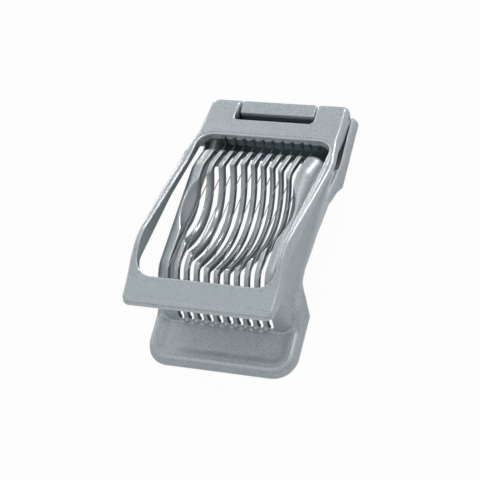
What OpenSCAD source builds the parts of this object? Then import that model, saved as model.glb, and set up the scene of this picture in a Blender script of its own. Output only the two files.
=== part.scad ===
// Egg slicer: a cast base with a slotted egg hollow, and a cast frame strung with
// ten wires, hinged at the back on one steel pin.
// Origin: the middle of the overall box, on the table. +Y is the hinge end, -Y the
// thumb tongue, +Z up. The frame is drawn shut and then opened by frame_open.

/* [Overall] */
// Overall length, from the front of the tongue to the back of the hinge lugs
overall_l = 152; // [145:1:185]
// Width of the base across its feet
base_w = 83; // [70:0.5:102]
// Angle between the frame and its shut position
frame_open = 15.8; // [0:0.1:80]

/* [Base casting] */
// Wall of the casting
wall = 2; // [1.6:0.1:2.6]
// Height of the tongue's rim
tongue_h = 5.4; // [4.5:0.1:5.5]
// Length of the tongue, from its front edge to the foot of the bed
tongue_l = 24.3; // [18:0.1:32]
// Radius of the tongue's corners in plan
tongue_r = 12.5; // [5:0.5:25]
// Depth of the thumb tray in the tongue
tray_depth = 1.4; // [0.5:0.1:2]
// Width of the rim around the thumb tray
tray_rim = 2.6; // [1.5:0.1:5]
// Length of the bed that carries the egg, at its foot
bed_l = 94.5; // [88:0.5:100]
// Radius of the bed's front corners in plan
bed_corner_r = 8; // [6:0.5:12]
// Width of the bed at its foot
bed_w = 72; // [62:0.5:73]
// Narrowing of each side of the bed towards its top
bed_draft = 2.6; // [0:0.1:3]
// Radius of the bed's long top edges
bed_edge_r = 5.5; // [2:0.5:7]
// Height of the bed at its front crest
crest_h = 35.2; // [31:0.1:42]
// Height of the bed above its back edge
bed_back_h = 28.4; // [25:0.1:33]
// Height of the flank beside the front of the bed
flank_h = 13.4; // [10:0.1:13.6]
// Height of the side walls behind the bed
rear_wall_h = 7.4; // [6:0.1:7.6]
// Inward lean of the flanks, in millimetres for each millimetre of height
flank_lean = 0.2; // [0.05:0.01:0.3]
// Height of the arch under each flank, at its front
arch_h = 11.9; // [6:0.1:12]
// Length of the front foot behind the bed's foot line
front_foot_l = 12; // [8:0.5:20]
// Length of the back foot that lies under the bed
rear_foot_l = 9; // [5:0.5:14]
// Gap between the frame's neck and the side walls behind the bed
well_gap = 0.5; // [0.4:0.1:1]
// Top of the floor behind the bed
trench_floor = 2.8; // [2.2:0.1:3.2]
// Thickness of the bed's skin, which is how deep its ribs are
bed_wall = 3.4; // [2:0.1:3.6]
// Height that the turned-down back ends of the ribs reach down to
rib_tip_h = 15; // [12:0.5:17]
// Length of the opening in the floor behind the rib ends
heel_l = 5; // [3:0.5:12]

/* [Egg hollow] */
// Length of the hollow
hollow_l = 66.5; // [50:0.5:70]
// Depth of the hollow
hollow_depth = 18.4; // [14:0.1:20]
// Radius of the hollow across the wires
hollow_r = 36; // [28:0.5:38]
// How much deeper the hollow is towards its blunt back end
hollow_egg = 0.3; // [0:0.05:0.5]

/* [Wires] */
// Number of wires
wire_n = 10; // [4:1:10]
// Distance between neighbouring wires
wire_pitch = 5.5; // [4.5:0.1:6.6]
// Diameter of a wire
wire_d = 0.45; // [0.3:0.05:0.8]
// Height of the shut wires above the table
wire_z = 7.2; // [6.6:0.1:7.6]
// Width of the slots that the wires sink into
slot_w = 2.85; // [2:0.05:3.4]
// Bottom of the slots
slot_floor = 4; // [3.9:0.1:6.2]
// Diameter of the sleeve crimped on each wire end
crimp_d = 1.8; // [1.4:0.1:2.4]
// Length of the sleeve crimped on each wire end
crimp_l = 3; // [2:0.1:4]

/* [Frame casting] */
// Clear gap between the bed's foot and the frame's window
window_gap = 1.3; // [0.8:0.1:2.5]
// Width of the top face of each arm
arm_w = 5.1; // [3.5:0.1:6]
// Outward lean of the frame's outer walls, in millimetres for each millimetre of height
arm_lean = 0.04; // [0:0.02:0.1]
// Half of the frame's width at its neck, beside the hinge
neck_hw = 38.6; // [32:0.1:39]
// Height of the shut frame at its crest
frame_crest_h = 22.8; // [20:0.1:26]
// Height of the shut frame's flat back plate
plate_h = 14.3; // [13.5:0.1:16]
// Thickness of the back plate
plate_t = 5.6; // [4:0.1:6]
// Thickness of the side walls under the back plate
neck_wall = 2.4; // [1.6:0.1:4]
// How far the side walls reach down under the back plate
neck_drop = 4.6; // [2:0.1:4.8]
// Height of the arms' lower edge at the front when shut
arm_under_h = 14.2; // [13.6:0.1:17]
// Height of the shut frame's lower edge over the tongue
bar_under_h = 6; // [5.9:0.1:6.4]
// Length of the front bar, from the window to its front edge
front_bar_l = 14; // [11:0.5:18]
// Length of the flat plate between the window and the hinge notch
rear_bar_l = 11.6; // [11:0.1:14]
// Thickness of the wall that each row of wires is drawn through
strung_wall = 2.6; // [2:0.1:3.4]

/* [Hinge] */
// Radius of the hinge lugs
lug_r = 6; // [5.5:0.1:7]
// Height of the hinge pin's axis
hinge_z = 9.8; // [9.4:0.1:10.4]
// Diameter of the hinge pin
pin_d = 3.2; // [2.5:0.1:4]
// Length of the hinge block on the base
block_l = 43; // [24:0.5:50]
// Height of the hinge block
block_h = 14.5; // [13:0.1:15]
// Distance from the pin's axis to the front of the hinge block
block_front = 4.6; // [3.5:0.1:5]
// Gap at each end of the hinge block
block_gap = 0.9; // [0.4:0.1:2]
// Radial clearance of the pin in the frame's lugs
pin_run = 0.05; // [0.02:0.01:0.1]
// Radial clearance of a part that is pressed or crimped home
press_gap = 0.01; // [0.01:0.01:0.02]

/* [Hidden] */
$fn = 64;
eps = 0.01;
far = 200;

// Stations along the length
front_y = -overall_l / 2;
hinge_y = overall_l / 2 - lug_r;
foot_y = front_y + tongue_l;
bed_back_y = foot_y + bed_l;
base_back_y = overall_l / 2 - 1.2;

// The bed's sloping top: a line from the crest to the back edge
crest_y = foot_y + 19;
back_edge_y = foot_y + 85;
bed_slope = (crest_h - bed_back_h) / (back_edge_y - crest_y);
bed_tilt = atan(bed_slope);
function bed_top(y) = crest_h - (y - crest_y) * bed_slope;

// The frame's window and outline, shut
window_front_y = foot_y - window_gap;
window_back_y = bed_back_y + 5.4;
window_hw = bed_w / 2 + window_gap;
arm_hw = window_hw + arm_w;
arm_foot_hw = arm_hw + arm_lean * (frame_crest_h - arm_under_h) * 0.7;
bar_front_y = window_front_y - front_bar_l;
notch_y = window_back_y + rear_bar_l;
crimp_room = 0.6;
mouth_r = 1.25;
mouth_depth = 1;
channel_l = crimp_l + 2 * crimp_room;
plate_under_h = plate_h - plate_t;
wire_front_y = window_front_y - strung_wall - crimp_l;
wire_back_y = window_back_y + strung_wall + crimp_l;
wire_hole_d = wire_d + 0.1;
block_hw = block_l / 2;
notch_hw = block_hw + block_gap;
pin_hw = neck_hw - 2;

function two(i) = i < 10 ? str("0", i) : str(i);
function numbered(stem) = [for (i = [1:wire_n]) str(stem, two(i))];

function wire_x(i) = (i - (wire_n - 1) / 2) * wire_pitch;

// Rounds the corners of an outline whose points are [x, y, radius]
function unit(v) = v / norm(v);
function flat(p) = [p[0], p[1]];
function corner(a, b, c, steps = 6) =
    b[2] == 0 ? [flat(b)] :
    let (
        u = unit(flat(a) - flat(b)),
        v = unit(flat(c) - flat(b)),
        half = acos(max(-1, min(1, u * v))) / 2,
        room = 0.49 * min(norm(flat(a) - flat(b)), norm(flat(c) - flat(b))),
        r = min(b[2], room * tan(half)),
        centre = flat(b) + unit(u + v) * r / sin(half),
        start = flat(b) + u * r / tan(half) - centre,
        end = flat(b) + v * r / tan(half) - centre,
        turn = atan2(start[0] * end[1] - start[1] * end[0], start * end)
    )
    [for (k = [0:steps]) centre + rotated(start, turn * k / steps)];
function rotated(v, a) = [v[0] * cos(a) - v[1] * sin(a), v[0] * sin(a) + v[1] * cos(a)];
function rounded(pts) = [
    for (i = [0:len(pts) - 1])
        each corner(pts[(i + len(pts) - 1) % len(pts)], pts[i], pts[(i + 1) % len(pts)])
];
function mirrored(half) = concat(half, [for (i = [len(half) - 1:-1:0]) [-half[i][0], half[i][1], half[i][2]]]);

// An outline in Y and Z, extruded along X over a half width
module along_x(hw) {
    translate([-hw, 0, 0]) rotate([90, 0, 90]) linear_extrude(2 * hw) children();
}

// An outline in X and Z, extruded along Y
module along_y(y0, y1) {
    translate([0, y1, 0]) rotate([90, 0, 0]) linear_extrude(y1 - y0) children();
}

// ---------------------------------------------------------------- base casting

// Plan of the base, drawn in by s
module base_plan(s = 0) {
    hw = base_w / 2 - s;
    polygon(rounded(mirrored([
        [hw, front_y + s, max(1, tongue_r - s)],
        [hw, base_back_y - s, 3],
    ])));
}

// A cavity runs out below the table plane that the outer walls stand on
function under(s) = s > 0 ? -1 : 0;

// Side view of the tongue, flanks and back walls, drawn in by s
module flank_side(s = 0) {
    top = -s;
    foot = under(s);
    polygon([
        [front_y - 1, foot],
        [front_y - 1, tongue_h + top],
        [foot_y + 1, tongue_h + top],
        [foot_y + 6, (tongue_h + flank_h) / 2 + 1 + top],
        [foot_y + 11, flank_h - 0.4 + top],
        [foot_y + 18, flank_h + top],
        [foot_y + 44, flank_h - 0.5 + top],
        [foot_y + 68, (flank_h + rear_wall_h) / 2 + 0.7 + top],
        [foot_y + 88, rear_wall_h + 0.8 + top],
        [foot_y + 99, rear_wall_h + top],
        [base_back_y + 1, rear_wall_h + top],
        [base_back_y + 1, foot],
    ]);
}

module flanks(s = 0) {
    foot_hw = base_w / 2 - s;
    lean = flank_lean * flank_h;
    intersection() {
        translate([0, 0, under(s)]) linear_extrude(flank_h + 2) base_plan(s);
        along_x(far) flank_side(s);
        along_y(-far, far) polygon([
            [-foot_hw, -1],
            [foot_hw, -1],
            [foot_hw, 0],
            [foot_hw - lean, flank_h],
            [lean - foot_hw, flank_h],
            [-foot_hw, 0],
        ]);
    }
}

// Side view of the bed, drawn in by s
module bed_side(s = 0) {
    polygon(rounded([
        [foot_y + s, under(s), 0],
        [foot_y + s, tongue_h - s, 0],
        [foot_y + 10.4 + s, crest_h - 4 - s, 4],
        [crest_y - 2, crest_h + 0.4 - s, 12],
        [back_edge_y - 6, bed_top(back_edge_y - 6) - s, 8],
        [bed_back_y - 2 - s, bed_back_h - 7.5 - s, 6],
        [bed_back_y - s, 6, 0],
        [bed_back_y - s, under(s), 0],
    ]));
}

// Plan of the bed, whose front corners follow the frame's window, drawn in by s
module bed_plan(s) {
    hw = bed_w / 2 - s;
    polygon(rounded(mirrored([
        [hw, foot_y + s, max(1, bed_corner_r - s)],
        [hw, bed_back_y - s, 1],
    ])));
}

// The bed's drafted sides, whose top edges follow the bed's slope
module bed_section(hw, s) {
    top = bed_top(hollow_y) - s;
    translate([0, hollow_y, 0]) rotate([-bed_tilt, 0, 0])
        along_y(-far, far) polygon(rounded([
            [-hw, -far / 4, 0],
            [hw, -far / 4, 0],
            [hw, flank_h, 0],
            [hw - bed_draft, top, bed_edge_r],
            [bed_draft - hw, top, bed_edge_r],
            [-hw, flank_h, 0],
        ]));
}

module bed(s = 0) {
    hw = bed_w / 2 - s;
    intersection() {
        along_x(hw) bed_side(s);
        bed_section(hw, s);
        translate([0, 0, -1]) linear_extrude(far) bed_plan(s);
    }
}

// The egg-shaped hollow, turned about an axis that lies along the bed, grown by s
hollow_half = hollow_l / 2;
hollow_y = foot_y + 49.5;
hollow_steps = 22;
function egg_depth(t) = pow(1 - t * t, 0.9) * (1 + hollow_egg * t) * hollow_depth / (1 + hollow_egg * 0.08);
module hollow(s = 0) {
    axis_up = hollow_r - hollow_depth;
    translate([0, hollow_y, bed_top(hollow_y)])
        rotate([-bed_tilt, 0, 0])
            translate([0, 0, axis_up])
                rotate([-90, 0, 0])
                    rotate_extrude()
                        polygon(concat(
                            [[0, -hollow_half - s]],
                            [
                                for (k = [0:hollow_steps])
                                    let (t = -cos(180 * k / hollow_steps))
                                    [axis_up + egg_depth(t) + s, (hollow_half + s) * t]
                            ],
                            [[0, hollow_half + s]]
                        ));
}

module slots() {
    for (i = [0:wire_n - 1])
        translate([wire_x(i) - slot_w / 2, foot_y - 1, slot_floor])
            cube([slot_w, bed_l + 2, far]);
}

// Side view of what is cut away under each flank, between the feet
module arch_side() {
    y0 = foot_y + front_foot_l;
    y1 = bed_back_y - rear_foot_l;
    polygon(rounded([
        [y0 - 1, -2, 0],
        [y0, 0, 0],
        [y0 + 8.5, arch_h * 0.86, 6],
        [y0 + 13, arch_h * 0.99, 8],
        [y0 + 20, arch_h, 10],
        [y1 - 33, arch_h * 0.88, 20],
        [y1 - 14, arch_h * 0.67, 8],
        [y1 - 5, arch_h * 0.33, 4],
        [y1, 0, 0],
        [y1 + 1, -2, 0],
    ]));
}

module thumb_tray() {
    translate([0, 0, tongue_h - tray_depth])
        intersection() {
            linear_extrude(far) base_plan(tray_rim);
            translate([-far, -far, 0]) cube([2 * far, far + foot_y - 1, far]);
        }
}

// The well behind the bed that the frame's back bar and hinge lugs move in
module well() {
    hw = neck_hw + well_gap;
    translate([-hw, bed_back_y, trench_floor])
        cube([2 * hw, far, far]);
}

module under_well() {
    hw = base_w / 2 - 3 * wall;
    translate([-hw, bed_back_y, -1])
        cube([2 * hw, base_back_y - wall - bed_back_y, trench_floor - wall + 1]);
}

// What is left open under and behind the free back ends of the ribs
module heel() {
    hw = wire_x(wire_n - 1) + slot_w / 2;
    translate([-hw, bed_back_y - bed_wall - 1, -1])
        cube([2 * hw, bed_wall + 1 + heel_l, rib_tip_h + 1]);
}

// The block that carries the pin between the frame's lugs
module hinge_block() {
    front = hinge_y - block_front;
    along_x(block_hw) polygon(rounded([
        [front, trench_floor - wall, 0],
        [front, block_h, 2.2],
        [base_back_y, block_h, 1.4],
        [base_back_y, trench_floor - wall, 0],
    ]));
}

module pin_bore(r) {
    translate([-far / 2, hinge_y, hinge_z]) rotate([0, 90, 0]) cylinder(r = r, h = far);
}

module base_casting() color([0.66, 0.68, 0.69]) {
    difference() {
        union() {
            difference() {
                union() {
                    flanks();
                    bed();
                }
                difference() {
                    union() {
                        intersection() {
                            flanks(wall);
                            translate([-far, -far, -2]) cube([2 * far, far + bed_back_y - wall, far]);
                        }
                        bed(bed_wall);
                    }
                    hollow(bed_wall);
                    translate([-far, -far, tongue_h - tray_depth - wall])
                        cube([2 * far, far + foot_y + bed_wall, far]);
                }
                well();
                under_well();
            }
            hinge_block();
        }
        hollow();
        slots();
        heel();
        thumb_tray();
        along_x(far) arch_side();
        pin_bore(pin_d / 2 + press_gap);
    }
}

// ---------------------------------------------------------------- cutting frame

// Plan of the frame, at the foot of its flared walls
module frame_plan() {
    nose_hw = arm_foot_hw - 2.6;
    polygon(rounded(mirrored([
        [nose_hw, bar_front_y - 0.5, 4],
        [arm_foot_hw, window_front_y + 8, 30],
        [arm_foot_hw, bed_back_y - 9, 14],
        [neck_hw + 0.7, bed_back_y + 6, 14],
        [neck_hw, hinge_y + lug_r, 3],
    ])));
}

// Side view of the shut frame
module frame_side() {
    front = bar_front_y;
    polygon(rounded([
        [front - 0.5, bar_under_h, 0.5],
        [front + 0.2, 8.6, 1],
        [window_front_y + 2, 14.6, 8],
        [crest_y - 3, frame_crest_h + 0.6, 7],
        [crest_y + 12, frame_crest_h - 1, 20],
        [bed_back_y - 16, plate_h + 0.2, 14],
        [bed_back_y, plate_h - 0.1, 10],
        [hinge_y, hinge_z + lug_r, 0],
        [hinge_y + 1, hinge_z + lug_r, 0],
        [hinge_y + 1, plate_under_h, 0],
        [bed_back_y - 4, plate_under_h + 0.4, 10],
        [hollow_y + 4, arm_under_h - 0.6, 20],
        [crest_y - 10, arm_under_h, 4],
        [window_front_y + 3, 9.6, 3],
        [window_front_y - 1, bar_under_h, 1],
    ]));
}

module window() {
    translate([0, 0, -far / 2])
        linear_extrude(far)
            polygon(rounded(mirrored([
                [window_hw, window_front_y, bed_corner_r + 1],
                [window_hw, window_back_y, 8],
            ])));
}

// The lean of the outer walls, along the rise of the arms
module leaning_walls() {
    rise = atan((frame_crest_h - plate_h) / (bed_back_y - 12 - crest_y));
    drop = 20;
    translate([0, crest_y, frame_crest_h])
        rotate([-rise, 0, 0])
            along_y(-far, far) polygon([
                [-arm_hw - arm_lean * drop, -drop],
                [arm_hw + arm_lean * drop, -drop],
                [arm_hw, 0],
                [arm_hw - 1.5, 5],
                [1.5 - arm_hw, 5],
                [-arm_hw, 0],
            ]);
}

// The rib under the back plate that holds the wires' back ends
module strung_rib() {
    hw = wire_x(wire_n - 1) + 4;
    length = strung_wall + channel_l + 2;
    translate([-hw, window_back_y, bar_under_h])
        cube([2 * hw, length, plate_h - plate_t / 2 - bar_under_h]);
}

// The side walls that run down beside the back plate, from the arms to the lugs
module neck_walls() {
    front = bed_back_y + well_gap + 1;
    for (side = [0, 1])
        mirror([side, 0, 0])
            translate([neck_hw - neck_wall, 0, 0])
                rotate([90, 0, 90])
                    linear_extrude(neck_wall)
                        polygon(rounded([
                            [front, plate_h - plate_t / 2, 0],
                            [hinge_y, plate_h - plate_t / 2, 0],
                            [hinge_y, plate_under_h - neck_drop, 0],
                            [front + 6, plate_under_h - neck_drop + 0.6, 6],
                            [front, plate_under_h - neck_drop / 2, 2],
                        ]));
}

module lugs() {
    for (side = [-1, 1])
        translate([side > 0 ? notch_hw : -neck_hw, hinge_y, hinge_z])
            rotate([0, 90, 0]) cylinder(r = lug_r, h = neck_hw - notch_hw);
}

module crimp_channels() {
    hw = wire_x(wire_n - 1) + crimp_d;
    for (y = [window_front_y - strung_wall - channel_l, window_back_y + strung_wall])
        translate([-hw, y, 0]) cube([2 * hw, channel_l, wire_z + crimp_d]);
}

// Mouths in the strung back edge, one for each wire
module wire_mouths() {
    for (i = [0:wire_n - 1])
        translate([wire_x(i), window_back_y + mouth_depth, wire_z])
            rotate([90, 0, 0]) cylinder(r = mouth_r, h = 4);
}

module wire_holes() {
    for (i = [0:wire_n - 1])
        translate([wire_x(i), far / 2, wire_z])
            rotate([90, 0, 0]) cylinder(d = wire_hole_d, h = far);
}

module hinge_notch() {
    translate([-notch_hw, notch_y, -far / 2]) cube([2 * notch_hw, far, far]);
    translate([-far, hinge_y + lug_r + eps, 0]) cube([2 * far, far, far]);
}

// Turns a shut frame piece about the hinge to where it rests
module opened() {
    translate([0, hinge_y, hinge_z])
        rotate([-frame_open, 0, 0])
            translate([0, -hinge_y, -hinge_z])
                children();
}

module cutting_frame() color([0.68, 0.70, 0.71]) {
    opened() difference() {
        union() {
            intersection() {
                linear_extrude(far) frame_plan();
                along_x(far) frame_side();
                leaning_walls();
            }
            strung_rib();
            neck_walls();
            lugs();
        }
        window();
        hinge_notch();
        crimp_channels();
        wire_mouths();
        wire_holes();
        pin_bore(pin_d / 2 + pin_run);
    }
}

// ---------------------------------------------------------------- small parts

module hinge_pin() color([0.75, 0.76, 0.77]) {
    translate([-pin_hw, hinge_y, hinge_z]) rotate([0, 90, 0]) cylinder(d = pin_d, h = 2 * pin_hw);
}

module wire(i) color([0.82, 0.83, 0.84]) {
    opened() translate([wire_x(i), wire_back_y, wire_z])
        rotate([90, 0, 0]) cylinder(d = wire_d, h = wire_back_y - wire_front_y);
}

// A sleeve crimped on a wire end, drawn up against the wall that holds it
module crimp(i, y) color([0.72, 0.73, 0.74]) {
    opened() translate([wire_x(i), y + crimp_l, wire_z])
        rotate([90, 0, 0]) difference() {
            cylinder(d = crimp_d, h = crimp_l);
            translate([0, 0, -1]) cylinder(r = wire_d / 2 + press_gap, h = crimp_l + 2);
        }
}

base_casting();
cutting_frame();
hinge_pin();
for (i = [0:wire_n - 1]) {
    wire(i);
    crimp(i, wire_front_y);
    crimp(i, wire_back_y - crimp_l);
}
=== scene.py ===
import math

import bpy
import numpy as np
from mathutils import Matrix, Vector


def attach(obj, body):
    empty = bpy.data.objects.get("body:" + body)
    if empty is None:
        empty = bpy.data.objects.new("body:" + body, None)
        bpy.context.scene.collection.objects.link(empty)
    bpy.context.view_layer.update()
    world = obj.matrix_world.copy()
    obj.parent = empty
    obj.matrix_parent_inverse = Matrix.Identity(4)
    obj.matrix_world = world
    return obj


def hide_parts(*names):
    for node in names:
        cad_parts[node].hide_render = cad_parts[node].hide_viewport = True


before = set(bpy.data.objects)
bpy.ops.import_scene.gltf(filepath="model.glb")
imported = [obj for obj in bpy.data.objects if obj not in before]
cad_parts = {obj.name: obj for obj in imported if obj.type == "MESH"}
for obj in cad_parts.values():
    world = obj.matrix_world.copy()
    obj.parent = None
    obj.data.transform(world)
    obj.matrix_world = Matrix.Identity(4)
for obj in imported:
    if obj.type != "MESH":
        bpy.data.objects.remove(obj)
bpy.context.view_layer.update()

# ------------------------------------------------------------------ sizes, mm
# _HW is half a width, _H a height over the table, _R a radius and _Y a place along the slicer.
MM = 0.001
BASE_CELL, FRAME_CELL = 0.54, 0.46    # cells of the grids that the castings are meshed on
BASE_BOX = (-43.2, -77.4, -1.35), (43.2, 76.3, 36.6)
FRAME_BOX = (-43.6, -69.3, 3.02), (43.6, 77.4, 25.2)
GRILLE_HW = 25.6    # the base is parted here into two meshes, to keep each one small
FRONT_Y, BACK_Y = -76.0, 74.8
HINGE_Y, HINGE_Z = 70.0, 9.8
OPEN = math.radians(15.8)    # how far the frame stands open at rest
FOOT_Y, BED_BACK_Y = -51.7, 42.8    # foot of the bed's front face, and the bed's back
BED_HW, BED_DRAFT = 36.0, 2.6
BASE_HW, TONGUE_R, REAR_R = 41.5, 12.5, 3.5
TONGUE_H, TRAY_FLOOR = 5.4, 4.0
FLANK_H, REAR_H = 13.4, 7.4
ARCH_H, ARCH_BACK_Y = 11.9, 33.8
LEAN, TONGUE_LEAN = 0.2, 0.4    # how far the side walls lean in for each mm of height
WALL, BED_WALL = 2.0, 3.4
TIP_H, HEEL_L = 15.0, 5.0    # the ribs' back ends, and the open floor behind them
CREST_H, CREST_Y = 35.2, FOOT_Y + 19
BACK_EDGE_Y, BACK_EDGE_H = FOOT_Y + 85, 28.4
SLOPE = (CREST_H - BACK_EDGE_H) / (BACK_EDGE_Y - CREST_Y)
TILT = math.atan(SLOPE)
HOLLOW_Y, HOLLOW_HALF = FOOT_Y + 49.5, 33.25
HOLLOW_R, HOLLOW_DEPTH, HOLLOW_EGG = 36.0, 18.4, 0.3
PITCH, WIRES = 5.5, 10
SLOT_HW, TOE_R = 1.425, 1.35
WINDOW_FRONT_Y, WINDOW_BACK_Y, WINDOW_HW = -53.0, 48.2, 37.3
NOSE_Y, NOSE_HW, CREST_HW, ARM_HW, NECK_HW = -67.3, 40.1, 41.4, 42.55, 38.6
NOTCH_Y, NOTCH_HW = 59.8, 22.4
BLOCK_Y, BLOCK_HW, BLOCK_H = HINGE_Y - 4.6, 21.5, 14.5
PLATE_H, PLATE_UNDER, BAR_UNDER = 14.3, 8.7, 6.0
NECK_WALL, STRING_HW, RIB_HW = 2.6, 26.5, 28.7
LUG_R, BORE_R, WIRE_Z = 6.0, 1.66, 7.2


# ---------------------------------------------------- distance-field modelling
def rmax(a, b, r):
    """Intersection of two solids, with its edge rounded to radius r."""
    return np.minimum(np.maximum(a, b), -r) + np.hypot(np.maximum(a + r, 0), np.maximum(b + r, 0))


def rmin(a, b, r):
    """Union of two solids, with a fillet of radius r between them."""
    return np.maximum(np.minimum(a, b), r) - np.hypot(np.maximum(r - a, 0), np.maximum(r - b, 0))


def rounded(points, turn=math.radians(6)):
    """The outline through points (u, v, radius), its corners rounded."""
    out, n = [], len(points)
    for i, (u, v, r) in enumerate(points):
        b = np.array((u, v))
        a = np.array(points[i - 1][:2]) - b
        c = np.array(points[(i + 1) % n][:2]) - b
        la, lc = np.linalg.norm(a), np.linalg.norm(c)
        if r == 0:
            out.append(b)
            continue
        a, c = a / la, c / lc
        half = math.acos(max(-1, min(1, float(a @ c)))) / 2
        r = min(r, 0.49 * min(la, lc) * math.tan(half))
        centre = b + (a + c) / np.linalg.norm(a + c) * r / math.sin(half)
        p, q = b + a * r / math.tan(half) - centre, b + c * r / math.tan(half) - centre
        angle = math.atan2(p[0] * q[1] - p[1] * q[0], p @ q)
        steps = max(2, math.ceil(abs(angle) / turn))
        for k in range(steps + 1):
            t = angle * k / steps
            out.append(centre + np.array((p[0] * math.cos(t) - p[1] * math.sin(t),
                                          p[0] * math.sin(t) + p[1] * math.cos(t))))
    return np.array(out)


class Outline:
    """Signed distance to a flat outline, tabulated on a fine grid and read between its points."""
    STEP = 0.2

    def __init__(self, points, low, high):
        self.low = low
        u = np.arange(low[0], high[0] + self.STEP, self.STEP, dtype=np.float32)[:, None]
        v = np.arange(low[1], high[1] + self.STEP, self.STEP, dtype=np.float32)[None, :]
        best = np.full((u.size, v.size), 1e9, np.float32)
        inside = np.zeros(best.shape, bool)
        for a, b in zip(points, np.roll(points, -1, axis=0)):
            e = b - a
            wu, wv = u - a[0], v - a[1]
            t = np.clip((wu * e[0] + wv * e[1]) / max(float(e @ e), 1e-12), 0, 1)
            best = np.minimum(best, (wu - e[0] * t) ** 2 + (wv - e[1] * t) ** 2)
            above, below, left = v >= a[1], v < b[1], e[0] * wv > e[1] * wu
            inside ^= (above & below & left) | (~above & ~below & ~left)
        self.table = np.where(inside, -1, 1) * np.sqrt(best)

    def __call__(self, u, v):
        table = self.table
        fu = np.clip((u - self.low[0]) / self.STEP, 0, table.shape[0] - 1.001)
        fv = np.clip((v - self.low[1]) / self.STEP, 0, table.shape[1] - 1.001)
        iu, iv = fu.astype(np.int32), fv.astype(np.int32)
        tu, tv = fu - iu, fv - iv
        low = table[iu, iv] * (1 - tu) + table[iu + 1, iv] * tu
        high = table[iu, iv + 1] * (1 - tu) + table[iu + 1, iv + 1] * tu
        return low * (1 - tv) + high * tv


def net(field, low, high, cell):
    """Meshes the field's zero surface: one corner for each cell that it crosses, then drawn onto it."""
    axes = [np.arange(a, b + cell, cell, dtype=np.float32) for a, b in zip(low, high)]
    f = field(axes[0][:, None, None], axes[1][None, :, None], axes[2][None, None, :])
    f = np.broadcast_to(f, [a.size for a in axes]).astype(np.float32)
    inside = f < 0
    count = np.zeros([n - 1 for n in f.shape], np.int8)
    corners = [(i, j, k) for i in (0, 1) for j in (0, 1) for k in (0, 1)]

    def at(grid, c):
        return grid[tuple(slice(i, n - 1 + i) for i, n in zip(c, grid.shape))]

    for c in corners:
        count += at(inside, c)
    crossed = (count > 0) & (count < 8)
    cells = np.argwhere(crossed)
    value = {c: at(f, c)[crossed] for c in corners}
    total, hits = np.zeros((len(cells), 3)), np.zeros(len(cells))
    for c in corners:
        for axis in range(3):
            if c[axis]:
                continue
            d = tuple(1 if i == axis else c[i] for i in range(3))
            a, b = value[c], value[d]
            cut = (a < 0) != (b < 0)
            t = np.where(cut, a / np.where(cut, a - b, 1), 0)
            place = np.array(c, float)[None, :] + t[:, None] * np.eye(3)[axis][None, :]
            total += place * cut[:, None]
            hits += cut
    points = np.array(low) + (cells + total / hits[:, None]) * cell
    index = np.full(crossed.shape, -1, np.int64)
    index[crossed] = np.arange(len(cells))
    quads = []
    for axis in range(3):
        u, v = (axis + 1) % 3, (axis + 2) % 3
        first = [slice(1, n - 1) for n in f.shape]
        second = list(first)
        first[axis], second[axis] = slice(0, f.shape[axis] - 1), slice(1, f.shape[axis])
        a, b = inside[tuple(first)], inside[tuple(second)]
        where = np.argwhere(a != b)
        outward = a[tuple(where.T)]
        where = where + np.array([0 if i == axis else 1 for i in range(3)])
        ring = []
        for du, dv in ((-1, -1), (0, -1), (0, 0), (-1, 0)):
            at_cell = where.copy()
            at_cell[:, u] += du
            at_cell[:, v] += dv
            ring.append(index[tuple(at_cell.T)])
        ring = np.stack(ring, 1)
        quads.append(np.where(outward[:, None], ring, ring[:, ::-1]))
    quads = np.concatenate(quads)

    def many(p):
        return field(*(p[:, i].astype(np.float64) for i in range(3)))

    def slope(p, e):
        steps = np.eye(3) * e
        return np.stack([(many(p + s) - many(p - s)) / (2 * e) for s in steps], 1)

    for _ in range(3):
        g = slope(points, 0.05)
        move = -many(points)[:, None] * g / np.maximum((g * g).sum(1, keepdims=True), 0.05)
        size = np.linalg.norm(move, axis=1, keepdims=True)
        points = points + move * np.minimum(1, 0.6 * cell / np.maximum(size, 1e-9))
    normals = slope(points, 0.22)
    normals /= np.maximum(np.linalg.norm(normals, axis=1, keepdims=True), 1e-9)
    reach = 0.9
    bend = -6 * many(points)
    for s in np.eye(3) * reach:
        bend = bend + many(points + s) + many(points - s)
    return points, quads, normals, bend / reach


def build(name, points, quads, normals, marks):
    """An object of quads with the given normals, and a named value at each corner for each mark."""
    mesh = bpy.data.meshes.new(name)
    mesh.vertices.add(len(points))
    mesh.vertices.foreach_set("co", (points * MM).astype(np.float32).ravel())
    mesh.loops.add(quads.size)
    mesh.loops.foreach_set("vertex_index", quads.ravel().astype(np.int32))
    mesh.polygons.add(len(quads))
    mesh.polygons.foreach_set("loop_start", np.arange(0, quads.size, 4, dtype=np.int32))
    mesh.update(calc_edges=True)
    for mark, values in marks.items():
        made = mesh.attributes.new(mark, "FLOAT", "POINT")
        made.data.foreach_set("value", values.astype(np.float32))
    mesh.validate()
    mesh.shade_smooth()
    mesh.normals_split_custom_set_from_vertices(normals.astype(np.float32))
    made = bpy.data.objects.new(name, mesh)
    bpy.context.scene.collection.objects.link(made)
    return made


# ------------------------------------------------------------------ base casting
def bed_top(y):
    """Height of the sloping top of the bed."""
    return CREST_H - (y - CREST_Y) * SLOPE


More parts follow.
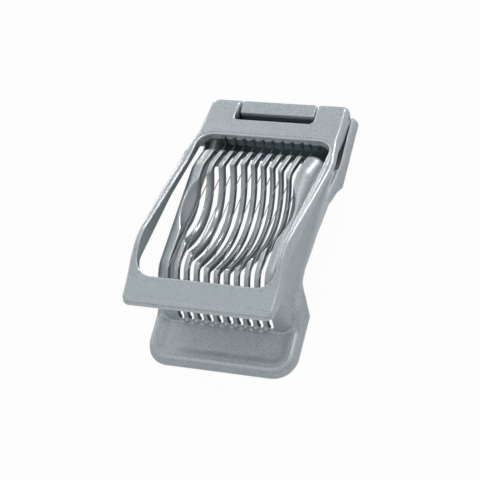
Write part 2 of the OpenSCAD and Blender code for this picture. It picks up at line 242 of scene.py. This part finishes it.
far = 30.0    # how far an outline runs on past the casting
SIDE_SPAN, PLAN_SPAN = ((-82, -8), (82, 40)), ((-46, -72), (46, 80))
flank_outline = Outline(rounded([
    (FRONT_Y - far, -far, 0), (FRONT_Y - far, TONGUE_H, 0),
    (FOOT_Y + 1, TONGUE_H, 4), (FOOT_Y + 6, (TONGUE_H + FLANK_H) / 2 + 1, 8),
    (FOOT_Y + 11, FLANK_H - 0.4, 8), (FOOT_Y + 18, FLANK_H, 20),
    (FOOT_Y + 44, FLANK_H - 0.5, 60), (FOOT_Y + 68, (FLANK_H + REAR_H) / 2 + 0.7, 40),
    (FOOT_Y + 88, REAR_H + 0.8, 30), (FOOT_Y + 99, REAR_H, 20), (BACK_Y + far, REAR_H, 0),
    (BACK_Y + far, -far, 0)]),
    *SIDE_SPAN)
bed_outline = Outline(rounded([
    (FOOT_Y, -far, 0), (FOOT_Y, TONGUE_H, 1), (FOOT_Y + 10.4, CREST_H - 4, 5),
    (CREST_Y - 2, CREST_H + 0.4, 14), (BACK_EDGE_Y - 6, bed_top(BACK_EDGE_Y - 6), 9),
    (BED_BACK_Y - 2, BACK_EDGE_H - 7.5, 6), (BED_BACK_Y, 6, 2), (BED_BACK_Y, -far, 0)]),
    *SIDE_SPAN)
arch_outline = Outline(rounded([
    (FOOT_Y + 8, -6, 0), (FOOT_Y + 12, 0, 3), (FOOT_Y + 20.5, ARCH_H * 0.86, 6),
    (FOOT_Y + 25, ARCH_H * 0.99, 8), (FOOT_Y + 32, ARCH_H, 10), (ARCH_BACK_Y - 33, ARCH_H * 0.88, 20),
    (ARCH_BACK_Y - 14, ARCH_H * 0.67, 8), (ARCH_BACK_Y - 5, ARCH_H * 0.33, 4),
    (ARCH_BACK_Y, 0, 3), (ARCH_BACK_Y + 4, -6, 0)]),
    *SIDE_SPAN)
block_outline = Outline(rounded([
    (BLOCK_Y, 0, 0), (BLOCK_Y, 11, 1.5), (BLOCK_Y + 2, BLOCK_H, 1),
    (BACK_Y, BLOCK_H, 1.4), (BACK_Y, 0, 0)]),
    (50, -4), (82, 22))


def hollow(x, y, z):
    """Distance to the egg hollow: a turned shape whose axis lies along the bed."""
    top = bed_top(HOLLOW_Y)
    along = (y - HOLLOW_Y) * math.cos(TILT) - (z - top) * math.sin(TILT)
    up = (y - HOLLOW_Y) * math.sin(TILT) + (z - top) * math.cos(TILT)
    axis_up = HOLLOW_R - HOLLOW_DEPTH
    t = np.clip(along / HOLLOW_HALF, -0.999, 0.999)
    room = 1 - t * t
    peak = HOLLOW_DEPTH / (1 + HOLLOW_EGG * 0.08)
    depth = room ** 0.9 * (1 + HOLLOW_EGG * t) * peak
    steep = (-1.8 * t * room ** -0.1 * (1 + HOLLOW_EGG * t) + room ** 0.9 * HOLLOW_EGG) * peak / HOLLOW_HALF
    out = (np.hypot(x, up - axis_up) - axis_up - depth) / np.sqrt(1 + np.clip(steep, -2, 2) ** 2)
    return np.maximum(out, np.abs(along) - HOLLOW_HALF)


def slot_field(x, y, z):
    """Distance to the ten slots."""
    ax = np.abs(x)
    outer = PITCH * WIRES / 2
    inner = np.abs(x - (np.floor(x / PITCH) + 0.5) * PITCH) - SLOT_HW
    across = np.where(ax < outer, inner, ax - (outer - PITCH / 2) - SLOT_HW)
    return np.maximum(np.maximum(rmax(across, FOOT_Y + 0.7 - y, 0.8), 1.0 - z), y - BED_BACK_Y - 2.5)


def base_skins(x, y, z):
    """The flanks and the bed before they are joined and hollowed from below."""
    ax = np.abs(x)
    r = np.where(y < 0, TONGUE_R, REAR_R)
    du = ax - (BASE_HW - r)
    dv = np.maximum(FRONT_Y + r - y, y - (BACK_Y - r))
    plan = np.minimum(np.maximum(du, dv), 0) + np.hypot(np.maximum(du, 0), np.maximum(dv, 0)) - r
    lean = np.interp(y, (-52, -42), (TONGUE_LEAN, LEAN))
    walls = (plan + lean * z) / np.hypot(1, lean)
    edge = np.interp(y, (-60, -47, -34, 20, 36, 60, 70), (2.0, 2.4, 4.5, 4.0, 1.1, 1.1, 2.0))
    flanks = rmax(walls, flank_outline(y, z), edge)
    tray = rmax(rmax(plan + LEAN * z + 2.4, TRAY_FLOOR - z, 8.0), y - FOOT_Y - 6, 1.0)
    well = rmax(rmax(ax - NECK_HW - 0.5, 2.8 - z, 1.0), BED_BACK_Y - 2 - y, 1.0)
    flanks = rmax(rmax(flanks, -tray, 1.3), -well, 0.7)
    sides = ax - BED_HW + np.clip(z - FLANK_H, -6, 30) * BED_DRAFT / 20
    bed = rmax(sides, bed_outline(y, z), 6.0)
    return flanks, bed


def base_field(x, y, z):
    """The base casting."""
    flanks, bed = base_skins(x, y, z)
    egg = hollow(x, y, z)
    skin = rmax(rmin(flanks, bed, 1.6), -egg, 1.1)
    room = rmax(rmin(flanks + WALL, bed + BED_WALL, 1.0), BED_WALL - egg, 1.0)
    shell = rmax(skin, -room, 0.3)
    heel = np.maximum(np.abs(x) - PITCH * (WIRES - 1) / 2 - SLOT_HW, z - TIP_H)
    heel = rmax(rmax(heel, y - BED_BACK_Y - HEEL_L, 1.5), BED_BACK_Y - BED_WALL - 1 - y, 0.5)
    shell = rmax(shell, -heel, 0.9)
    shell = rmax(shell, -slot_field(x, y, z), 0.85)
    rib = np.clip(np.round(x / PITCH), -4, 4) * PITCH
    toe = np.sqrt((x - rib) ** 2 + (y - FOOT_Y - 0.1) ** 2 + ((z - TRAY_FLOOR - 0.5) / 1.3) ** 2) - TOE_R
    shell = rmin(shell, toe, 0.7)
    shell = rmax(shell, -arch_outline(y, z), 0.8)
    block = rmax(np.abs(x) - BLOCK_HW, block_outline(y, z), 1.3)
    shell = rmin(shell, block, 0.6)
    bore = np.hypot(y - HINGE_Y, z - HINGE_Z) - BORE_R
    shell = np.maximum(shell, -bore)
    return rmax(shell, -z, 0.35)


# ----------------------------------------------------------------- cutting frame
def mirrored(half):
    """The right half of an outline, then the same points at the left."""
    return half + [(-u, v, r) for u, v, r in reversed(half)]


plan_outline = Outline(rounded(mirrored([
    (NOSE_HW, NOSE_Y, 4), (CREST_HW + 0.4, WINDOW_FRONT_Y + 6, 20), (CREST_HW, CREST_Y, 30),
    (ARM_HW - 0.2, 2, 40), (ARM_HW, BED_BACK_Y - 9, 12), (NECK_HW + 0.6, BED_BACK_Y + 6, 12),
    (NECK_HW, HINGE_Y + LUG_R, 4)])),
    *PLAN_SPAN)
window_outline = Outline(rounded(mirrored([
    (WINDOW_HW, WINDOW_FRONT_Y, 9), (WINDOW_HW, WINDOW_BACK_Y, 8)])), *PLAN_SPAN)
notch_outline = Outline(rounded([
    (-NOTCH_HW, NOTCH_Y, 2.2), (NOTCH_HW, NOTCH_Y, 2.2), (NOTCH_HW + 1, 100, 0),
    (-NOTCH_HW - 1, 100, 0)]), *PLAN_SPAN)
side_outline = Outline(rounded([
    (NOSE_Y, BAR_UNDER, 0.5), (NOSE_Y + 0.1, 7.6, 0.7), (NOSE_Y + 3.3, 10.6, 2.5), (-51, 14.6, 40),
    (CREST_Y - 3, 24.1, 18), (CREST_Y + 12, 21.8, 20), (BED_BACK_Y - 16, PLATE_H + 0.2, 14),
    (BED_BACK_Y, PLATE_H - 0.2, 10), (HINGE_Y - 13, PLATE_H + 0.2, 40), (HINGE_Y - 1.5, HINGE_Z + LUG_R, 12),
    (HINGE_Y + 1, HINGE_Z + LUG_R, 0), (HINGE_Y + 1, PLATE_UNDER, 0),
    (BED_BACK_Y - 4, PLATE_UNDER + 0.4, 10), (HOLLOW_Y + 4, 13.6, 20), (CREST_Y - 10, 14.2, 4),
    (WINDOW_FRONT_Y + 3, 9.6, 3), (WINDOW_FRONT_Y - 1, BAR_UNDER, 1)]), (-72, 0), (80, 28))
neck_outline = Outline(rounded([
    (BED_BACK_Y + 1.5, 12, 0), (HINGE_Y, 12, 0), (HINGE_Y, 4.1, 0), (BED_BACK_Y + 8, 4.8, 6),
    (BED_BACK_Y + 1.5, 6.6, 2)]), (36, 0), (76, 16))


def frame_field(x, y, z):
    """The cutting frame, shut."""
    ax = np.abs(x)
    plan, side = plan_outline(x, y), side_outline(y, z)
    window = window_outline(x, y)
    dish = 0.36 * np.exp(-((window - 1.5) / 0.55) ** 2) * np.clip((y + 50) / 8, 0, 1)
    lean = np.interp(y, (34, 46), (0.1, 0.2)) * (np.clip(z, 8, 24) - np.interp(y, (34, 46), (10, 14)))
    body = rmax(plan + lean, side + dish, 1.5)
    rib = np.maximum(np.maximum(ax - RIB_HW, z - PLATE_UNDER - 2),
                     np.maximum(BAR_UNDER - z, y - WINDOW_BACK_Y - 8.8))
    rib = np.maximum(rib, WINDOW_BACK_Y - 1 - y)
    body = rmin(body, rib, 0.6)
    body = rmax(body, -window, 0.7)
    body = body + 0.22 * np.exp(-((z - 8.0) / 0.4) ** 2) * np.clip((-62 - y) / 2, 0, 1)
    rib_plane = np.abs(x - np.round(x / PITCH) * PITCH)
    dent = 3.3 - np.sqrt(3.3 ** 2 - np.clip(rib_plane, 0, 2.74) ** 2)
    flutes = np.maximum(y - WINDOW_BACK_Y - dent, z - 12.6 + dent)
    flutes = np.maximum(flutes, ax - PITCH * (WIRES - 1) / 2)
    body = rmax(body, -np.maximum(flutes, WINDOW_BACK_Y - 3 - y), 0.25)
    neck = rmax(neck_outline(y, z), np.abs(ax - NECK_HW + NECK_WALL / 2) - NECK_WALL / 2, 0.6)
    body = rmin(body, neck, 0.6)
    lug = np.hypot(y - HINGE_Y, z - HINGE_Z) - LUG_R
    lug = rmax(rmax(lug, NOTCH_HW - ax, 0.8), ax - NECK_HW, 3.2)
    body = rmax(body, -notch_outline(x, y), 1.0)
    body = rmin(body, lug, 1.2)
    for y0 in (WINDOW_FRONT_Y - 6.8, WINDOW_BACK_Y + 2.6):
        channel = np.maximum(np.abs(y - y0 - 2.1) - 2.1, z - WIRE_Z - 1.8)
        body = rmax(body, -np.maximum(channel, ax - STRING_HW), 0.3)
    bore = np.hypot(y - HINGE_Y, z - HINGE_Z) - BORE_R
    return np.maximum(body, -bore)


def opened(points, turn_only=False):
    """Points, or directions with turn_only, turned about the hinge to where they are at rest."""
    c, s = math.cos(OPEN), math.sin(OPEN)
    pivot = np.zeros(2) if turn_only else np.array((HINGE_Y, HINGE_Z))
    y, z = points[:, 1] - pivot[0], points[:, 2] - pivot[1]
    return np.stack([points[:, 0], pivot[0] + y * c + z * s, pivot[1] - y * s + z * c], 1)


def enclosed(field, points, normals):
    """How shut in each point is by its own casting, from 0 in the open to 1 deep in a gap."""
    total = 0
    for reach, weight in ((1.5, 0.2), (4.0, 0.3), (9.0, 0.5)):
        p = points + normals * reach
        room = field(*(p[:, i] for i in range(3)))
        total = total + weight * np.clip(1 - room / reach, 0, 1)
    return total


def parted(quads, chosen):
    """The chosen faces alone, with the numbers of the corners that they use."""
    used, again = np.unique(quads[chosen], return_inverse=True)
    return used, again.reshape(-1, 4)


def base_marks(points, normals):
    """Where the base is polished, in the hollow, and where shade is painted dark on it: well, notch, left
    side (a painted dark reflection) and wherever its own casting shuts it in.
    """
    x, y, z = points.T
    polish = np.clip(1 - np.abs(hollow(x, y, z)) / 0.5, 0, 1)
    # Painted shade on the well's floor, under the back plate.
    well = np.clip((y - BED_BACK_Y + 4) / 3, 0, 1) * np.clip((7.2 - z) / 1.5, 0, 1)
    well = 0.74 * well * np.clip((NECK_HW - 2.3 - np.abs(x)) / 0.6, 0, 1)
    # Painted shade on the block's front, down in the notch.
    notch = (np.abs(y - BLOCK_Y - 0.8) < 2.2) & (np.abs(x) < BLOCK_HW + 1)
    notch = notch * np.clip((14 - z) / 2, 0, 0.9)
    # Painted dark reflection on the bed's left side wall.
    side = np.clip(-normals[:, 0] / 0.6, 0, 1) * (x < -28) * np.clip((z - 13.6) / 2, 0, 1)
    side = 0.8 * side * (y > FOOT_Y + 4)
    # All of these are painted shade, with more where its own casting shuts a point in.
    return polish, np.maximum.reduce([enclosed(base_field, points, normals), well, notch, side])


def frame_marks(points, normals):
    """Where shade is painted dark on the frame: below the lumps at the window's back edge, and where it is
    shut in.
    """
    x, y, z = points.T
    # Painted shade below the lumps at the window's back edge.
    below = np.clip((11.2 - z) / 1.3, 0, 1) * np.clip((y - WINDOW_BACK_Y + 2) / 1.5, 0, 1)
    below = below * np.clip((36 - np.abs(x)) / 2, 0, 1)
    return np.maximum(below, enclosed(frame_field, points, normals))


points, quads, normals, bend = net(base_field, *BASE_BOX, BASE_CELL)
polish, shut_in = base_marks(points, normals)
middle = np.abs(points[quads].mean(1)[:, 0]) < GRILLE_HW
base = []
for name, chosen in (("base_grille", middle), ("base_shell", ~middle)):
    used, faces = parted(quads, chosen)
    base.append(build(name, points[used], faces, normals[used],
                      {"bend": bend[used], "polish": polish[used], "shut_in": shut_in[used]}))
points, quads, normals, bend = net(frame_field, *FRAME_BOX, FRAME_CELL)
arms = build("frame_casting", opened(points), quads, opened(normals, True),
             {"bend": bend, "polish": np.zeros(len(points)), "shut_in": frame_marks(points, normals)})
for piece, body, node, slot in ((base[0], "base", "base_casting", "base_lacquer"),
                                (base[1], "base", "base_casting", "base_lacquer"),
                                (arms, "frame", "cutting_frame", "frame_lacquer")):
    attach(piece, body)
    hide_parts(node)


# -------------------------------------------------------------------- materials
def new_material(name):
    """A material with its node tree and its main shader."""
    made = bpy.data.materials.new(name)
    made.use_nodes = True
    tree = made.node_tree
    return made, tree, tree.nodes["Principled BSDF"]


def node(tree, kind, inputs=(), **settings):
    """A new shader node; an input is given a value, or another node's socket."""
    made = tree.nodes.new("ShaderNode" + kind)
    for key, value in settings.items():
        setattr(made, key, value)
    for key, value in dict(inputs).items():
        if isinstance(value, bpy.types.NodeSocket):
            tree.links.new(value, made.inputs[key])
        else:
            made.inputs[key].default_value = value
    return made


def scaled(tree, source, low, high, to_low, to_high):
    """The source's range from low to high drawn onto the range from to_low to to_high, and held there."""
    return node(tree, "MapRange", {0: source, 1: low, 2: high, 3: to_low, 4: to_high}).outputs[0]


def mixed(tree, factor, a, b):
    """A colour between a and b."""
    made = node(tree, "Mix", {0: factor}, data_type="RGBA")
    for socket, value in ((6, a), (7, b)):
        if isinstance(value, bpy.types.NodeSocket):
            tree.links.new(value, made.inputs[socket])
        else:
            made.inputs[socket].default_value = (*value, 1)
    return made.outputs[2]


def blended(tree, factor, a, b):
    """A number between a, which is a socket, and b."""
    return node(tree, "Mix", {0: factor, 2: a, 3: b}, data_type="FLOAT").outputs[0]


def added(tree, *sockets):
    """The sum of yes-or-no sockets, at most 1."""
    total = sockets[0]
    for socket in sockets[1:]:
        total = node(tree, "Math", {0: total, 1: socket}, operation="ADD", use_clamp=True).outputs[0]
    return total


# Colours of the painted edge highlight, of the polished hollow darkened as a painted dark reflection, and of
# the dark teal painted shade.
PAINTED_EDGE_HIGHLIGHT, POLISHED_DARK_REFLECTION, PAINTED_SHADE_TEAL = (0.86, 0.85, 0.87), (0.46, 0.47, 0.49), (0.030, 0.082, 0.094)


def cast_material(name, tint):
    """Silver lacquer over sand-fine cast metal: speckled, with a painted highlight on its edges, painted
    shade in its creases and dark painted shade where it is shut in.
    """
    made, tree, shader = new_material(name)
    place = node(tree, "TexCoord").outputs["Object"]
    grain = node(tree, "TexNoise", {"Vector": place, "Scale": 2100, "Detail": 2, "Roughness": 0.7}).outputs[0]
    cloud = node(tree, "TexNoise", {"Vector": place, "Scale": 60, "Detail": 4, "Roughness": 0.5}).outputs[0]
    bend = node(tree, "Attribute", attribute_name="bend").outputs["Fac"]
    polish = node(tree, "Attribute", attribute_name="polish").outputs["Fac"]
    shut_in = node(tree, "Attribute", attribute_name="shut_in").outputs["Fac"]
    ridge = scaled(tree, bend, 0.25, 1.1, 0, 1)
    crease = scaled(tree, bend, -0.2, -1.2, 0, 1)
    colour = mixed(tree, scaled(tree, grain, 0.34, 0.66, 0, 1), tuple(c * 0.70 for c in tint),
                   tuple(min(1, c * 1.26) for c in tint))
    colour = mixed(tree, scaled(tree, cloud, 0.35, 0.65, 0, 0.22), colour, tuple(c * 0.86 for c in tint))
    # Painted highlight along convex edges.
    colour = mixed(tree, scaled(tree, ridge, 0, 1, 0, 0.55), colour, PAINTED_EDGE_HIGHLIGHT)
    # Painted shade in concave creases.
    colour = mixed(tree, scaled(tree, crease, 0, 1, 0, 0.45), colour, tuple(c * 0.4 for c in tint))
    # A smoother polished finish in the hollow, its colour darkened as a painted dark reflection.
    colour = mixed(tree, scaled(tree, polish, 0, 1, 0, 0.5), colour, POLISHED_DARK_REFLECTION)
    # Painted shade: dark teal where a point is shut in.
    colour = mixed(tree, scaled(tree, shut_in, 0.3, 0.85, 0, 0.85), colour, PAINTED_SHADE_TEAL)
    tree.links.new(colour, shader.inputs["Base Color"])
    rough = scaled(tree, grain, 0.3, 0.7, 0.33, 0.47)
    rough = blended(tree, scaled(tree, ridge, 0, 1, 0, 0.45), rough, 0.25)
    rough = blended(tree, scaled(tree, polish, 0, 1, 0, 0.8), rough, 0.2)
    tree.links.new(rough, shader.inputs["Roughness"])
    shader.inputs["Metallic"].default_value = 0.85
    bump = node(tree, "Bump", {"Height": grain, "Distance": 0.00012})
    tree.links.new(scaled(tree, polish, 0, 1, 0.5, 0.05), bump.inputs["Strength"])
    tree.links.new(bump.outputs[0], shader.inputs["Normal"])
    return made


def steel_material(name, colour, rough, stretch):
    """Drawn steel, its fine lines running along the piece."""
    made, tree, shader = new_material(name)
    place = node(tree, "TexCoord").outputs["Object"]
    lines = node(tree, "Mapping", {"Vector": place, "Scale": stretch})
    grain = node(tree, "TexNoise", {"Vector": lines.outputs[0], "Scale": 900, "Detail": 3})
    dull = tuple(c * 0.8 for c in colour)
    tone = mixed(tree, scaled(tree, grain.outputs[0], 0.35, 0.65, 0, 1), dull, colour)
    tree.links.new(tone, shader.inputs["Base Color"])
    ground = scaled(tree, grain.outputs[0], 0.3, 0.7, rough * 0.8, rough * 1.3)
    tree.links.new(ground, shader.inputs["Roughness"])
    shader.inputs["Metallic"].default_value = 1.0
    bump = node(tree, "Bump", {"Height": grain.outputs[0], "Distance": 0.00002, "Strength": 0.2})
    tree.links.new(bump.outputs[0], shader.inputs["Normal"])
    return made


base_cast = cast_material("base_lacquer_look", (0.60, 0.635, 0.650))
frame_cast = cast_material("frame_lacquer_look", (0.62, 0.655, 0.668))
wire_steel = steel_material("wire_look", (0.62, 0.63, 0.64), 0.22, (1, 0.08, 1))
pin_steel = steel_material("pin_look", (0.55, 0.56, 0.57), 0.3, (0.1, 1, 1))
crimp_steel = steel_material("crimp_look", (0.50, 0.51, 0.52), 0.36, (1, 1, 1))
for piece in base:
    piece.data.materials.append(base_cast)
arms.data.materials.append(frame_cast)
for name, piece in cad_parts.items():
    look = (wire_steel if name.startswith("wire_") else pin_steel if name == "hinge_pin"
            else crimp_steel if "crimp" in name else base_cast if name.startswith("base") else frame_cast)
    for slot in piece.material_slots:
        slot.material = look
    if not piece.material_slots:
        piece.data.materials.append(look)


# ------------------------------------------------------- floor, lights, camera
def aim(thing, place, target=(0, 0, 0.015)):
    """Puts the thing in its place and turns it to face the target."""
    thing.location = place
    thing.rotation_euler = (Vector(target) - Vector(place)).to_track_quat("-Z", "Y").to_euler()


def far_lamp(name, way, size, power, away=0.9):
    """A round lamp that shines on the object along one direction."""
    data = bpy.data.lights.new(name, "AREA")
    data.shape, data.size, data.energy = "DISK", size, power
    made = bpy.data.objects.new(name, data)
    bpy.context.scene.collection.objects.link(made)
    aim(made, Vector(way).normalized() * away)


floor_mesh = bpy.data.meshes.new("floor")
reach, floor_z = 3.0, -0.0003
floor_mesh.from_pydata([(x, y, floor_z) for x, y in ((-reach, -reach), (reach, -reach), (reach, reach),
                                                     (-reach, reach))], [], [(0, 1, 2, 3)])
floor = bpy.data.objects.new("floor", floor_mesh)
bpy.context.scene.collection.objects.link(floor)

made, tree, shader = new_material("floor_look")
shader.inputs["Base Color"].default_value = (0.80, 0.80, 0.80, 1)
shader.inputs["Roughness"].default_value = 0.9
shader.inputs["Specular IOR Level"].default_value = 0.0
glow = node(tree, "Emission", {"Color": (1, 1, 1, 1), "Strength": 1.0})
path = node(tree, "LightPath")
seen = added(tree, path.outputs["Is Camera Ray"], path.outputs["Is Transmission Ray"])
seen = node(tree, "Math", {0: seen, 1: 0.96}, operation="MULTIPLY").outputs[0]
mirrored_in = node(tree, "Math", {0: path.outputs["Is Glossy Ray"], 1: 0.15}, operation="MULTIPLY").outputs[0]
share = added(tree, seen, mirrored_in)
blend = node(tree, "MixShader", {0: share, 1: shader.outputs[0], 2: glow.outputs[0]})
tree.links.new(blend.outputs[0], tree.nodes["Material Output"].inputs["Surface"])
floor_mesh.materials.append(made)

# The room is a light tent: even overhead, brighter low down at the left and behind, dim in front.
world = bpy.data.worlds.new("studio")
bpy.context.scene.world = world
world.use_nodes = True
tree = world.node_tree
back = tree.nodes["Background"]
way = node(tree, "SeparateXYZ", {0: node(tree, "TexCoord").outputs["Generated"]})
overhead = scaled(tree, way.outputs["Z"], 0.05, 0.6, 0, 1)
behind = scaled(tree, way.outputs["Y"], -0.6, 0.6, 0, 1)
leftward = scaled(tree, way.outputs["X"], 0.2, -0.9, 0, 1)
low_tone = mixed(tree, behind, (0.22, 0.25, 0.27), (0.62, 0.64, 0.68))
low_tone = mixed(tree, scaled(tree, leftward, 0, 1, 0, 0.5), low_tone, (0.70, 0.71, 0.74))
tone = mixed(tree, overhead, low_tone, (0.68, 0.725, 0.745))
tree.links.new(tone, back.inputs["Color"])
back.inputs["Strength"].default_value = 0.80
white = node(tree, "Background", {"Color": (1, 1, 1, 1), "Strength": 1.0})
path = node(tree, "LightPath")
seen = added(tree, path.outputs["Is Camera Ray"], path.outputs["Is Transmission Ray"])
blend = node(tree, "MixShader", {0: seen, 1: back.outputs[0], 2: white.outputs[0]})
tree.links.new(blend.outputs[0], tree.nodes["World Output"].inputs["Surface"])

far_lamp("window", (-0.42, 0.50, 0.76), 0.45, 0.12)
far_lamp("arm_right", (0.38, 0.88, 0.25), 0.10, 1.2)
far_lamp("arm_left", (-0.62, 0.78, 0.05), 0.12, 0.7)
far_lamp("rim_right", (0.40, 0.38, 0.83), 0.10, 0.5)
far_lamp("rim_left", (-0.93, 0.30, 0.20), 0.22, 0.2)
far_lamp("rim_front", (-0.38, -0.45, 0.80), 0.16, 0.1)

camera_data = bpy.data.cameras.new("camera")
camera = bpy.data.objects.new("camera", camera_data)
bpy.context.scene.collection.objects.link(camera)
bpy.context.scene.camera = camera
right = Vector((0.91929, 0.24667, -0.30671))
up = Vector((-0.08975, 0.89011, 0.44681))
backward = Vector((0.38322, -0.38322, 0.84040))
place = Vector((0.32214, -0.33122, 0.72315))
turn = Matrix((right, up, backward)).transposed()
camera.matrix_world = Matrix.Translation(place) @ turn.to_4x4()
camera_data.sensor_width = 36.0
camera_data.lens = 122.67
camera_data.clip_start, camera_data.clip_end = 0.01, 20

bpy.context.scene.view_settings.view_transform = "Standard"
